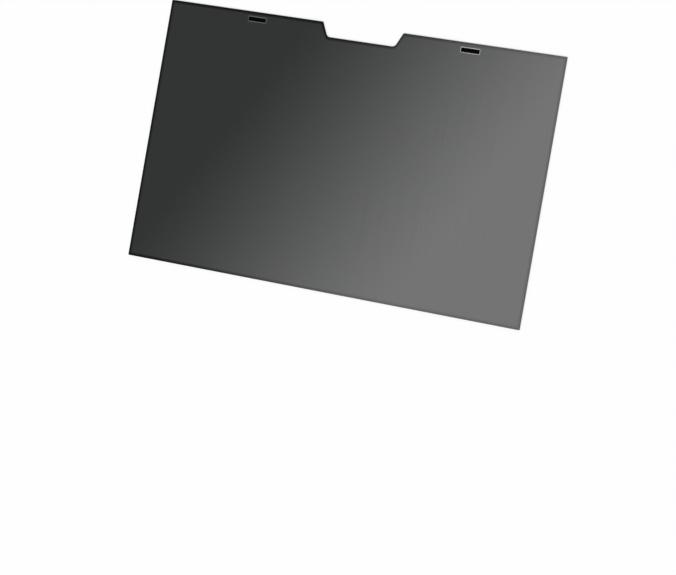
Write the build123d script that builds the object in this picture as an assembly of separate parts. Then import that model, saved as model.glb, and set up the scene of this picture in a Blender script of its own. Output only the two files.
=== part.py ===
from build123d import *
import os

# A privacy film with two bar magnets, lying on its back.
# Millimetres, with the origin in the middle of the back face: +X is right as seen from the front,
# +Y points to the notched top edge and +Z points out of the front face.

# Film, in the 17.3 inch size of 16:9
film_width = 382.0
film_height = 215.0
film_thickness = 0.6
film_corner_radius = 0.8
die_roll = 0.1  # rounding that the cutting die leaves along the front edge

# Notch in the middle of the top edge, narrower at its floor than at its mouth
notch_mouth_width = 78.0
notch_floor_width = 65.5
notch_depth = 11.75
notch_mouth_radius = 1.2
notch_floor_radius = 4.5

# Bar magnets, one each side of the notch
magnet_length = 17.1
magnet_width = 3.5
magnet_thickness = 0.45
magnet_corner_radius = 0.3
magnet_edge_chamfer = 0.08
magnet_spacing = 206.3  # between the two centres
magnet_drop = 6.2  # from the top edge to the centre line

# Windows in the film, cut at a slant down to its clear bottom layer, which the magnets are glued to
carrier_thickness = 0.2
window_clearance = 0.1  # glue gap all round the magnet at the floor
window_flare = 0.45  # how much further out the mouth is than the floor

film_top = film_height / 2
magnet_centre_height = film_top - magnet_drop
magnet_places = {
    "left_magnet": (-magnet_spacing / 2, magnet_centre_height),
    "right_magnet": (magnet_spacing / 2, magnet_centre_height),
}


def film_outline():
    """The die-cut outline, anticlockwise from the bottom right: a rectangle with a notched top edge."""
    side = film_width / 2
    mouth = notch_mouth_width / 2
    floor = notch_floor_width / 2
    floor_level = film_top - notch_depth
    corners = [
        (side, -film_top, film_corner_radius),
        (side, film_top, film_corner_radius),
        (mouth, film_top, notch_mouth_radius),
        (floor, floor_level, notch_floor_radius),
        (-floor, floor_level, notch_floor_radius),
        (-mouth, film_top, notch_mouth_radius),
        (-side, film_top, film_corner_radius),
        (-side, -film_top, film_corner_radius),
    ]
    points = [(x, y) for x, y, radius in corners]
    radii = [radius for x, y, radius in corners]
    return FilletPolyline(points, radius=radii, close=True)


def bar_outline(margin):
    """A magnet's outline, grown by a margin on all sides."""
    return RectangleRounded(
        magnet_length + 2 * margin,
        magnet_width + 2 * margin,
        magnet_corner_radius + margin,
    )


def filter_film():
    """The film, rounded along its front edge, with a window for each magnet that narrows to its floor."""
    with BuildPart() as film:
        with BuildSketch():
            with BuildLine():
                film_outline()
            make_face()
        extrude(amount=film_thickness)
        fillet(film.faces().sort_by(Axis.Z)[-1].edges(), die_roll)
        for place in magnet_places.values():
            with BuildSketch(Plane.XY.offset(carrier_thickness)):
                with Locations(place):
                    bar_outline(window_clearance)
            with BuildSketch(Plane.XY.offset(film_thickness)):
                with Locations(place):
                    bar_outline(window_clearance + window_flare)
            loft(ruled=True, mode=Mode.SUBTRACT)
    return film.part


def bar_magnet(place):
    """One magnet, seated on the floor of its window, with the edges of its coated front face broken."""
    with BuildPart() as magnet:
        with BuildSketch(Plane.XY.offset(carrier_thickness)):
            with Locations(place):
                bar_outline(0)
        extrude(amount=magnet_thickness)
        chamfer(magnet.faces().sort_by(Axis.Z)[-1].edges(), magnet_edge_chamfer)
    return magnet.part


nodes = {"filter_film": filter_film()}
for name, place in magnet_places.items():
    nodes[name] = bar_magnet(place)

os.makedirs("parts", exist_ok=True)
for name, solid in nodes.items():
    export_step(solid, f"parts/{name}.step")
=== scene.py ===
import math

import bmesh
import bpy
import numpy as np
from mathutils import Matrix, Vector


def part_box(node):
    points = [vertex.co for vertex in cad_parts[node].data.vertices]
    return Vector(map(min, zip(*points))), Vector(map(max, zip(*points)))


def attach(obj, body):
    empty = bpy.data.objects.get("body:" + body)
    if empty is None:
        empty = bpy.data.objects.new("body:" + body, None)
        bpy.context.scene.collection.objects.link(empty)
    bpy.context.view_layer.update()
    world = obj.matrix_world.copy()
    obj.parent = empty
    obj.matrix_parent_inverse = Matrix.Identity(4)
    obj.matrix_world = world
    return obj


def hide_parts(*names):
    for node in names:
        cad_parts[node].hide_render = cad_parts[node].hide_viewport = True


# A privacy film with two bar magnets, lying on its back on a white floor.
# Metres, with the origin in the middle of the back face: +X is right as seen from the front,
# +Y points to the notched top edge and +Z points out of the front face.

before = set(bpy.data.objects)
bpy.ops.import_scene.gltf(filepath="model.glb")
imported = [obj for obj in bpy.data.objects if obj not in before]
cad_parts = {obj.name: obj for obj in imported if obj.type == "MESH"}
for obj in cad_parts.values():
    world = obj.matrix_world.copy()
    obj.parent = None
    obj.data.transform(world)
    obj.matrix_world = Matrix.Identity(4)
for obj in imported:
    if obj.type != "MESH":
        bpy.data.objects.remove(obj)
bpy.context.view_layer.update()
scene = bpy.context.scene
scene.view_settings.view_transform = "Standard"


# Film
# One stiff sheet of louvred plastic laminate, die-cut with a slant-sided notch in its top edge.
# The die rounds its front edge a little. Two windows near the top are cut at a slant through the tinted
# layers, down to the clear bottom layer that the magnets are glued to.

# The film is centred on the origin with its back at height 0, so its highest corner gives its sizes
half_width, half_height, film_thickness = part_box("filter_film")[1]
film_corner_radius = 0.0008
die_roll = 0.0001

notch_mouth_half = 0.039
notch_floor_half = 0.03275
notch_depth = 0.01175
notch_mouth_radius = 0.0012
notch_floor_radius = 0.0045

magnet_boxes = {name: np.array(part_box(name)) for name in ("left_magnet", "right_magnet")}
magnet_centres = {name: box.mean(axis=0)[:2] for name, box in magnet_boxes.items()}
magnet_low, magnet_high = magnet_boxes["right_magnet"]
magnet_half = (magnet_high - magnet_low)[:2] / 2
magnet_corner_radius = 0.0003
carrier_thickness = magnet_low[2]
window_clearance = 0.0001
window_flare = 0.00045
window_floor_half = magnet_half + window_clearance
window_floor_radius = magnet_corner_radius + window_clearance
window_core = window_floor_half - window_floor_radius

# Where the lines of the film's grid lie: close to its edge, over and beside a window, and evenly between
edge_insets = np.array((0, 0.00025, 0.0005, 0.0008, 0.0012, 0.0018, 0.0026))
over_window_shares = np.array((0, 0.4, 0.8, 1))
past_window_across = np.array((0, 0.0008, 0.0018, 0.0038))
past_window_up = np.array((0, 0.0007, 0.0015))
arc_steps = 8
notch_floor_steps = 2
notch_to_window_steps = 3
window_to_side_steps = 5
bottom_to_window_steps = 13


def mirrored(half):
    """A rising list of values that starts at 0, with its mirror image before it."""
    return np.concatenate((-half[:0:-1], half))


window_columns = mirrored(
    np.concatenate((window_core[0] * over_window_shares, window_floor_half[0] + past_window_across))
)
window_rows = mirrored(np.concatenate(((0, window_core[1]), window_floor_half[1] + past_window_up)))


def between(start, end, steps):
    """The places that divide a stretch into even steps, without its ends."""
    return np.linspace(start, end, steps + 1)[1:-1]


def arc(centre, radius, start_degrees, end_degrees):
    """Points of an arc about the centre, at even angles from the start to the end."""
    angle = np.radians(np.linspace(start_degrees, end_degrees, arc_steps + 1))
    return np.array(centre) + radius * np.column_stack((np.cos(angle), np.sin(angle)))


def run(x, level):
    """Points of a level stretch of edge, at the given places across."""
    return np.column_stack((x, np.full(len(x), level)))


def notch_half(inset):
    """The right half of the notch, from its middle to the top edge, moved into the film by the inset.

    It is half the floor, an arc about a point in the notch up to the slanted side, and an arc about a
    point in the film over to the top edge. Both arcs turn by the angle that the side slants.
    """
    slant = math.atan2(notch_depth, notch_mouth_half - notch_floor_half)
    floor_level = half_height - notch_depth
    floor_end = notch_floor_half - notch_floor_radius * math.tan(slant / 2)
    mouth_end = notch_mouth_half + notch_mouth_radius * math.tan(slant / 2)
    turn = math.degrees(slant)
    floor_x = np.concatenate(((0,), between(0, floor_end, notch_floor_steps)))
    floor_centre = (floor_end, floor_level + notch_floor_radius)
    mouth_centre = (mouth_end, half_height - notch_mouth_radius)
    return np.concatenate(
        (
            run(floor_x, floor_level - inset),
            arc(floor_centre, notch_floor_radius + inset, -90, turn - 90),
            arc(mouth_centre, notch_mouth_radius - inset, 90 + turn, 90),
        )
    )


def film_face(inset):
    """The film's flat face as a grid of points, moved in from the cut outline by the inset.

    Columns run from left to right and rows from bottom to top. Each column is the straight line from a
    point of the bottom edge to its partner in the top edge, and the rows divide all columns alike.
    """
    notch = notch_half(inset)
    window_x = magnet_centres["right_magnet"][0] + window_columns
    corner_x = half_width - film_corner_radius
    past_notch = notch[-1, 0] + edge_insets[1:]
    before_window = between(past_notch[-1], window_x[0], notch_to_window_steps)
    before_corner = corner_x - edge_insets[:0:-1]
    past_window = between(window_x[-1], before_corner[0], window_to_side_steps)
    level_x = np.concatenate((past_notch, before_window, window_x, past_window, before_corner))
    corner = arc((corner_x, half_height - film_corner_radius), film_corner_radius - inset, 90, 0)
    top = np.concatenate((notch, run(level_x, half_height - inset), corner))
    bottom = top * (1, -1)
    # Under the notch the bottom edge is straight, with the same places across at every inset
    bottom[: len(notch)] = run(notch_half(0)[:, 0], inset - half_height)
    # The left half mirrors the right, without a second middle point
    mirror = slice(None, 0, -1)
    top = np.concatenate((top[mirror] * (-1, 1), top))
    bottom = np.concatenate((bottom[mirror] * (-1, 1), bottom))
    window_y = magnet_centres["right_magnet"][1] + window_rows
    lower_edge = edge_insets - half_height
    middle = between(lower_edge[-1], window_y[0], bottom_to_window_steps)
    rows = np.concatenate((lower_edge, middle, window_y, half_height - edge_insets[::-1]))
    share = (rows + half_height) / (2 * half_height)
    return bottom[:, None] + share[:, None] * (top - bottom)[:, None]


def block_border(columns, rows):
    """The border of a block of a grid, anticlockwise, as column numbers and row numbers."""
    first_column, last_column = columns
    first_row, last_row = rows
    across = np.arange(first_column, last_column)
    up = np.arange(first_row, last_row)
    column = np.concatenate(
        (across, np.full(len(up), last_column), across[::-1] + 1, np.full(len(up), first_column))
    )
    row = np.concatenate(
        (np.full(len(across), first_row), up, np.full(len(across), last_row), up[::-1] + 1)
    )
    return column, row


def raised(points, level):
    """Flat points at a height."""
    return np.concatenate((points, np.full(points.shape[:-1] + (1,), level)), axis=-1)


def bar_rings(around, half_size, corner_radius, profile):
    """Rings round a bar with rounded corners, one for each pair of margin and height in the profile.

    For each of the points around the bar, a ring takes the nearest point of the bar's core and goes
    from it towards that point by the corner radius and the margin.
    """
    core = np.clip(around, corner_radius - half_size, half_size - corner_radius)
    outward = around - core
    outward /= np.linalg.norm(outward, axis=1, keepdims=True)
    rings = [raised(core + (corner_radius + margin) * outward, level) for margin, level in profile]
    return np.stack(rings)


def closed_ring(rings):
    """Rings with their first point added at the end, so that the grid of faces closes."""
    return np.concatenate((rings, rings[:, :1]), axis=1)


all_cells = slice(None)
weld_reach = 1e-6
crisp_angle = math.radians(30)


def welded_mesh(name, grids, caps):
    """A mesh of grids of points, with a face in each cell that is kept, and flat caps over rings.

    Points that coincide become one, faces turn outwards, and edges over the crisp angle stay sharp.
    """
    points = []
    faces = []
    first = 0
    for grid, kept in grids:
        number = first + np.arange(grid[..., 0].size).reshape(grid.shape[:2])
        cells = np.stack((number[:-1, :-1], number[1:, :-1], number[1:, 1:], number[:-1, 1:]), axis=-1)
        points.append(grid.reshape(-1, 3))
        faces += cells[kept].reshape(-1, 4).tolist()
        first += number.size
    for ring in caps:
        points.append(ring)
        faces.append(list(range(first, first + len(ring))))
        first += len(ring)
    mesh = bpy.data.meshes.new(name)
    mesh.from_pydata(np.concatenate(points).tolist(), [], faces)
    weld = bmesh.new()
    weld.from_mesh(mesh)
    bmesh.ops.remove_doubles(weld, verts=weld.verts, dist=weld_reach)
    bmesh.ops.recalc_face_normals(weld, faces=weld.faces)
    weld.to_mesh(mesh)
    weld.free()
    mesh.shade_smooth()
    mesh.set_sharp_from_angle(angle=crisp_angle)
    return mesh


front = film_face(die_roll)
back = film_face(0)
front_kept = np.full((front.shape[0] - 1, front.shape[1] - 1), True)
film_grids = [(raised(back, 0), all_cells)]
film_caps = []

# The cut edge: rings from the front face over the die's rounding and straight down to the back
roll_steps = 4
roll_angle = np.radians(np.linspace(0, 90, roll_steps + 1))
edge_profile = [
    (die_roll * (1 - math.sin(angle)), film_thickness - die_roll * (1 - math.cos(angle)))
    for angle in roll_angle
]
edge_profile.append((0, 0))
outline_border = block_border((0, front.shape[0] - 1), (0, front.shape[1] - 1))
edge_rings = [raised(film_face(inset)[outline_border], level) for inset, level in edge_profile]
film_grids.append((closed_ring(np.stack(edge_rings)), all_cells))


def block_ends(places, centre, reach):
    """The first and last numbers of the places that lie less than the reach from a centre."""
    return np.flatnonzero(np.abs(places - centre) < reach)[[0, -1]]


# The windows: a block of the front face gives way to rings that slant down to the clear bottom layer.
# The lines of that face lie up to the die's rounding off their places, which is less than their spacing.
window_profile = ((window_flare, film_thickness), (0, carrier_thickness))
around_magnet = {}
for name, centre in magnet_centres.items():
    columns = block_ends(front[:, 0, 0], centre[0], window_columns[-1] + die_roll)
    rows = block_ends(front[columns[0], :, 1], centre[1], window_rows[-1] + die_roll)
    front_kept[columns[0] : columns[1], rows[0] : rows[1]] = False
    border = front[block_border(columns, rows)]
    around_magnet[name] = border - centre
    window = bar_rings(border - centre, window_floor_half, window_floor_radius, window_profile)
    window[..., :2] += centre
    window_rings = np.concatenate((raised(border, film_thickness)[None], window))
    film_grids.append((closed_ring(window_rings), all_cells))
    film_caps.append(window[-1])
film_grids.append((raised(front, film_thickness), front_kept))

film_mesh = welded_mesh("filter_film_sheet", film_grids, film_caps)
film_sheet = bpy.data.objects.new("filter_film_sheet", film_mesh)
scene.collection.objects.link(film_sheet)


def distance_to_outline(points, loop):
    """How far each point is from a closed loop: the least distance to its straight pieces."""
    along = np.roll(loop, -1, axis=0) - loop
    from_start = points[:, None] - loop
    share = np.clip((from_start * along).sum(axis=2) / (along**2).sum(axis=1), 0, 1)
    return np.linalg.norm(from_start - share[..., None] * along, axis=2).min(axis=1)


film_points = np.zeros((len(film_mesh.vertices), 3), np.float32)
film_mesh.vertices.foreach_get("co", film_points.ravel())
edge_distances = distance_to_outline(film_points[:, :2].astype(float), back[outline_border])
edge_attribute = film_mesh.attributes.new("edge_distance", "FLOAT", "POINT")
edge_attribute.data.foreach_set("value", edge_distances.astype(np.float32))


def add_node(tree, kind, inputs, **settings):
    """A shader node with its settings, each input set to a value or linked from another node's output."""
    node = tree.nodes.new(kind)
    for name, value in settings.items():
        setattr(node, name, value)
    for socket, value in inputs.items():
        if isinstance(value, bpy.types.NodeSocket):
            tree.links.new(value, node.inputs[socket])
        else:
            node.inputs[socket].default_value = value
    return node


def worked_out(tree, operation, *values):
    """One step of arithmetic, on as many values as the operation takes."""
    return add_node(tree, "ShaderNodeMath", dict(enumerate(values)), operation=operation).outputs["Value"]


def ranged(tree, value, start, end, at_start, at_end):
    """The value carried evenly from one range to another, and held at its ends."""
    inputs = {"Value": value, "From Min": start, "From Max": end, "To Min": at_start, "To Max": at_end}
    return add_node(tree, "ShaderNodeMapRange", inputs, clamp=True).outputs["Result"]


def blended(tree, factor, first, second):
    """The first value where the factor is 0, the second where it is 1, and their mix between."""
    return add_node(tree, "ShaderNodeMix", {"Factor": factor, "A": first, "B": second}).outputs["Result"]


def blended_colour(tree, factor, first, second):
    """The first colour where the factor is 0, the second where it is 1, and their mix between.

    The node's colour sockets share their names with its other sockets, so they go by number.
    """
    first_socket = 6
    second_socket = 7
    result_socket = 2
    inputs = {"Factor": factor, first_socket: first, second_socket: second}
    return add_node(tree, "ShaderNodeMix", inputs, data_type="RGBA").outputs[result_socket]


# Nearly all of a noise lies between these two levels
noise_low = 0.3
noise_high = 0.7
grain_detail = 3.0


def fine_grain_group():
    """A node group for the faint grain of a coated surface, as a height and as a change of roughness.

    The noise is as coarse as the grain size, and moves the roughness up and down by the spread.
    """
    group = bpy.data.node_groups.new("fine_grain", "ShaderNodeTree")
    group.interface.new_socket("Place", in_out="INPUT", socket_type="NodeSocketVector")
    for name in ("Grain Size", "Roughness", "Spread"):
        group.interface.new_socket(name, in_out="INPUT", socket_type="NodeSocketFloat")
    for name in ("Roughness", "Height"):
        group.interface.new_socket(name, in_out="OUTPUT", socket_type="NodeSocketFloat")
    given = add_node(group, "NodeGroupInput", {}).outputs
    fineness = worked_out(group, "DIVIDE", 1.0, given["Grain Size"])
    noise = {"Vector": given["Place"], "Scale": fineness, "Detail": grain_detail}
    height = add_node(group, "ShaderNodeTexNoise", noise).outputs["Fac"]
    swing = ranged(group, height, noise_low, noise_high, -1, 1)
    roughness = worked_out(group, "MULTIPLY_ADD", swing, given["Spread"], given["Roughness"])
    add_node(group, "NodeGroupOutput", {"Roughness": roughness, "Height": height})
    return group


fine_grain = fine_grain_group()


def add_grain(tree, shader, place, grain_size, grain_depth, roughness, spread):
    """Gives a finish the fine grain, in its roughness and as a bump of the grain's depth."""
    inputs = {"Place": place, "Grain Size": grain_size, "Roughness": roughness, "Spread": spread}
    grain = add_node(tree, "ShaderNodeGroup", inputs, node_tree=fine_grain)
    bump = add_node(tree, "ShaderNodeBump", {"Height": grain.outputs["Height"], "Distance": grain_depth})
    tree.links.new(grain.outputs["Roughness"], shader.inputs["Roughness"])
    tree.links.new(bump.outputs["Normal"], shader.inputs["Normal"])


film_colour = (0.0202, 0.0230, 0.0222, 1)
cut_edge_colour = (0.0008, 0.0008, 0.0008, 1)
film_gloss = 0.05
front_roughness = 0.45
back_roughness = 0.28
film_grain_size = 0.0006
film_grain_depth = 0.000002
film_roughness_spread = 0.04

# Painted shade: the louvres' darkening when seen at a slant is painted as a fixed tint.
# It runs from dark at the top left to light at the bottom right, along a line turned down from the level.
# The start and the end are measured along it, from a point on the film's upright middle line.
# The darkness of the cut edge and the paleness of the frosting go with this painted shade.
view_shade_turn = math.radians(33.4)
view_shade_level = 0.097
view_shade_start = -0.050
view_shade_end = 0.171
view_shade_easing = 1.38
light_side_clearness = 0.501
dark_side_clearness = 0.140
light_side_edge_depth = 0.16
dark_side_edge_depth = 0.9
edge_easing = 3.0
light_side_frosting = 0.8
dark_side_frosting = 0.115
frosted_alpha = 0.83
clear_layer_alpha = 0.05

louvre_streak_width = 0.0015
louvre_streak_length = 0.08
louvre_spread = 0.015
cut_edge_flat = 0.0009
cut_edge_band = 0.0029

film_finish = bpy.data.materials.new("louvred_film")
film_finish.use_nodes = True
tree = film_finish.node_tree
shader = tree.nodes["Principled BSDF"]
shader.inputs["Specular IOR Level"].default_value = film_gloss
place = add_node(tree, "ShaderNodeTexCoord", {}).outputs["Object"]
across, up, height = add_node(tree, "ShaderNodeSeparateXYZ", {"Vector": place}).outputs

# The tint: how much light one face lets through, darker towards the top left by the painted shade
slant_inputs = {
    "Vector": place,
    "Rotation": (0, 0, view_shade_turn),
    "Location": (view_shade_level * math.sin(view_shade_turn), 0, 0),
}
slanted = add_node(tree, "ShaderNodeMapping", slant_inputs).outputs["Vector"]
along_view_shade = add_node(tree, "ShaderNodeSeparateXYZ", {"Vector": slanted}).outputs["X"]
painted_view_shade = worked_out(tree, "POWER", ranged(tree, along_view_shade, view_shade_start, view_shade_end, 1, 0), view_shade_easing)
clearness = blended(tree, painted_view_shade, light_side_clearness, dark_side_clearness)

# The louvres: faint upright streaks in how deep the tint is
streak_inputs = {
    "Vector": place,
    "Scale": (1 / louvre_streak_width, 1 / louvre_streak_length, 0),
}
streak_place = add_node(tree, "ShaderNodeMapping", streak_inputs).outputs["Vector"]
streaks = add_node(tree, "ShaderNodeTexNoise", {"Vector": streak_place, "Scale": 1.0}).outputs["Fac"]
streak_depth = ranged(tree, streaks, noise_low, noise_high, 1 - louvre_spread, 1 + louvre_spread)

# The cut edge: deeper and blacker, where the louvres are seen end on
edge_distance = add_node(tree, "ShaderNodeAttribute", {}, attribute_name="edge_distance").outputs["Fac"]
near_edge = ranged(tree, edge_distance, cut_edge_flat, cut_edge_band, 1, 0)
# How deep the cut edge darkens follows the painted shade of the slant view
edge_darkness = worked_out(tree, "POWER", painted_view_shade, edge_easing)
edge_depth = blended(tree, edge_darkness, light_side_edge_depth, dark_side_edge_depth)
tint_depth = worked_out(tree, "MULTIPLY_ADD", near_edge, edge_depth, streak_depth)
film_alpha = worked_out(tree, "SUBTRACT", 1.0, worked_out(tree, "POWER", clearness, tint_depth))
tinted_colour = blended_colour(tree, near_edge, film_colour, cut_edge_colour)


def beyond(tree, value, middle, reach):
    """How far a value is outside the stretch that reaches the same way up and down from a middle, or 0."""
    off_middle = worked_out(tree, "ABSOLUTE", worked_out(tree, "SUBTRACT", value, middle))
    return worked_out(tree, "MAXIMUM", worked_out(tree, "SUBTRACT", off_middle, reach), 0.0)


# The windows: their slanted walls are frosted by the cutter, and the layer under them is clear
right_x, right_y = magnet_centres["right_magnet"]
beyond_across = beyond(tree, worked_out(tree, "ABSOLUTE", across), right_x, window_core[0])
beyond_up = beyond(tree, up, right_y, window_core[1])
beyond_core = add_node(tree, "ShaderNodeCombineXYZ", {"X": beyond_across, "Y": beyond_up}).outputs["Vector"]
off_core = add_node(tree, "ShaderNodeVectorMath", {0: beyond_core}, operation="LENGTH").outputs["Value"]
in_window = worked_out(tree, "LESS_THAN", off_core, window_floor_radius + window_flare)
window_alpha = ranged(tree, height, 0, carrier_thickness, clear_layer_alpha, frosted_alpha)
# Painted shade: the frosting is paler at the bottom right and darker at the top left, following the slant
# view
frosting_and_view_shade = blended(tree, painted_view_shade, light_side_frosting, dark_side_frosting)
tree.links.new(blended(tree, in_window, film_alpha, window_alpha), shader.inputs["Alpha"])
tree.links.new(blended_colour(tree, in_window, tinted_colour, frosting_and_view_shade), shader.inputs["Base Color"])

film_roughness = ranged(tree, height, 0, film_thickness, back_roughness, front_roughness)
add_grain(tree, shader, place, film_grain_size, film_grain_depth, film_roughness, film_roughness_spread)

film_mesh.materials.append(film_finish)
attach(film_sheet, "root")
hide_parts("filter_film")


# Magnets
# Two thin bar magnets with a dead black coating, glued to the floors of the film's windows.
# The coating rounds their edges, and they stand a hair proud of the film.

coating_round = 0.00008
coating_round_steps = 3
coating_colour = (0.001, 0.001, 0.001, 1)
coating_gloss = 0.01
coating_roughness = 0.5
coating_grain_size = 0.0003
coating_grain_depth = 0.000006
coating_roughness_spread = 0.08

magnet_profile = [(-coating_round, magnet_low[2]), (0, magnet_low[2] + coating_round)]
magnet_profile += [
    (coating_round * (math.cos(angle) - 1), magnet_high[2] + coating_round * (math.sin(angle) - 1))
    for angle in np.radians(np.linspace(0, 90, coating_round_steps + 1))
]

magnet_finish = bpy.data.materials.new("magnet_coating")
magnet_finish.use_nodes = True
tree = magnet_finish.node_tree
shader = tree.nodes["Principled BSDF"]
shader.inputs["Base Color"].default_value = coating_colour
shader.inputs["Specular IOR Level"].default_value = coating_gloss
place = add_node(tree, "ShaderNodeTexCoord", {}).outputs["Object"]
coating_grain = (coating_grain_size, coating_grain_depth, coating_roughness, coating_roughness_spread)
add_grain(tree, shader, place, *coating_grain)

for name, centre in magnet_centres.items():
    rings = bar_rings(around_magnet[name], magnet_half, magnet_corner_radius, magnet_profile)
    rings[..., :2] += centre
    magnet_mesh = welded_mesh(f"{name}_bar", [(closed_ring(rings), all_cells)], [rings[0], rings[-1]])
    magnet_mesh.materials.append(magnet_finish)
    magnet_bar = bpy.data.objects.new(f"{name}_bar", magnet_mesh)
    scene.collection.objects.link(magnet_bar)
    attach(magnet_bar, "root")
    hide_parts(name)


# Floor, light and camera
# A plain matt white floor just under the film, like a light table, and an even soft light from above.
# The camera looks down on the film at the photograph's angle, with the notched edge up.

floor_reach = 8.0
floor_drop = 0.0002
floor_colour = (0.49, 0.49, 0.49, 1)
floor_roughness = 1.0
floor_gloss = 0.0

# Half of the floor's white is light that falls on it. It keeps the shadow, and passes the film twice.
# The other half is a glow that is seen but lights nothing, and passes the film once.
glow_colour = (1, 1, 1, 1)
glow_strength = 0.5


def in_sight(tree):
    """1 for a ray that shows a thing, straight or by gloss or glass, and 0 for a ray that gathers light."""
    rays = add_node(tree, "ShaderNodeLightPath", {}).outputs
    seen_or_mirrored = worked_out(tree, "MAXIMUM", rays["Is Camera Ray"], rays["Is Glossy Ray"])
    return worked_out(tree, "MAXIMUM", seen_or_mirrored, rays["Is Transmission Ray"])


floor_corners = [
    (-floor_reach, -floor_reach, -floor_drop),
    (floor_reach, -floor_reach, -floor_drop),
    (floor_reach, floor_reach, -floor_drop),
    (-floor_reach, floor_reach, -floor_drop),
]
floor_mesh = bpy.data.meshes.new("floor")
floor_mesh.from_pydata(floor_corners, [], [(0, 1, 2, 3)])
floor = bpy.data.objects.new("floor", floor_mesh)
scene.collection.objects.link(floor)
floor_finish = bpy.data.materials.new("floor_white")
floor_finish.use_nodes = True
tree = floor_finish.node_tree
shader = tree.nodes["Principled BSDF"]
shader.inputs["Base Color"].default_value = floor_colour
shader.inputs["Roughness"].default_value = floor_roughness
shader.inputs["Specular IOR Level"].default_value = floor_gloss
shader.inputs["Emission Color"].default_value = glow_colour
glow = worked_out(tree, "MULTIPLY", in_sight(tree), glow_strength)
tree.links.new(glow, shader.inputs["Emission Strength"])
floor_mesh.materials.append(floor_finish)

# The sky and the lamp each give a level surface half of its light, and the sky looks white
sky_colour = (1, 1, 1, 1)
sky_share = 0.5
seen_sky_strength = 1.0
key_share = 0.5
key_direction = Vector((-0.25, -0.6, 0.76)).normalized()
key_softness = math.radians(40)

world = bpy.data.worlds.new("studio")
scene.world = world
world.use_nodes = True
tree = world.node_tree
sky = tree.nodes["Background"]
sky.inputs["Color"].default_value = sky_colour
sky_strength = blended(tree, in_sight(tree), sky_share, seen_sky_strength)
tree.links.new(sky_strength, sky.inputs["Strength"])

key = bpy.data.lights.new("key", "SUN")
key.energy = key_share * math.pi / key_direction.z
key.angle = key_softness
key_lamp = bpy.data.objects.new("key", key)
key_lamp.rotation_mode = "QUATERNION"
key_lamp.rotation_quaternion = key_direction.to_track_quat("Z", "Y")
scene.collection.objects.link(key_lamp)

view_target = Vector((0.0190, -0.1014, 0))
view_distance = 2.924
view_azimuth = math.radians(92.76)
view_elevation = math.radians(57.1)
view_roll = math.radians(9.93)
photo_focal_pixels = 3650
photo_width_pixels = 676

camera = bpy.data.cameras.new("photo_view")
camera.lens = photo_focal_pixels / photo_width_pixels * camera.sensor_width
camera_object = bpy.data.objects.new("photo_view", camera)
scene.collection.objects.link(camera_object)
backward = Vector(
    (
        math.sin(view_azimuth) * math.cos(view_elevation),
        -math.cos(view_azimuth) * math.cos(view_elevation),
        math.sin(view_elevation),
    )
)
sideways = Vector((0, 1, 0)).cross(backward).normalized()
upward = backward.cross(sideways)
turn = Matrix((sideways, upward, backward)).transposed().to_4x4()
roll = Matrix.Rotation(view_roll, 4, "Z")
camera_object.matrix_world = Matrix.Translation(view_target + view_distance * backward) @ turn @ roll
scene.camera = camera_object
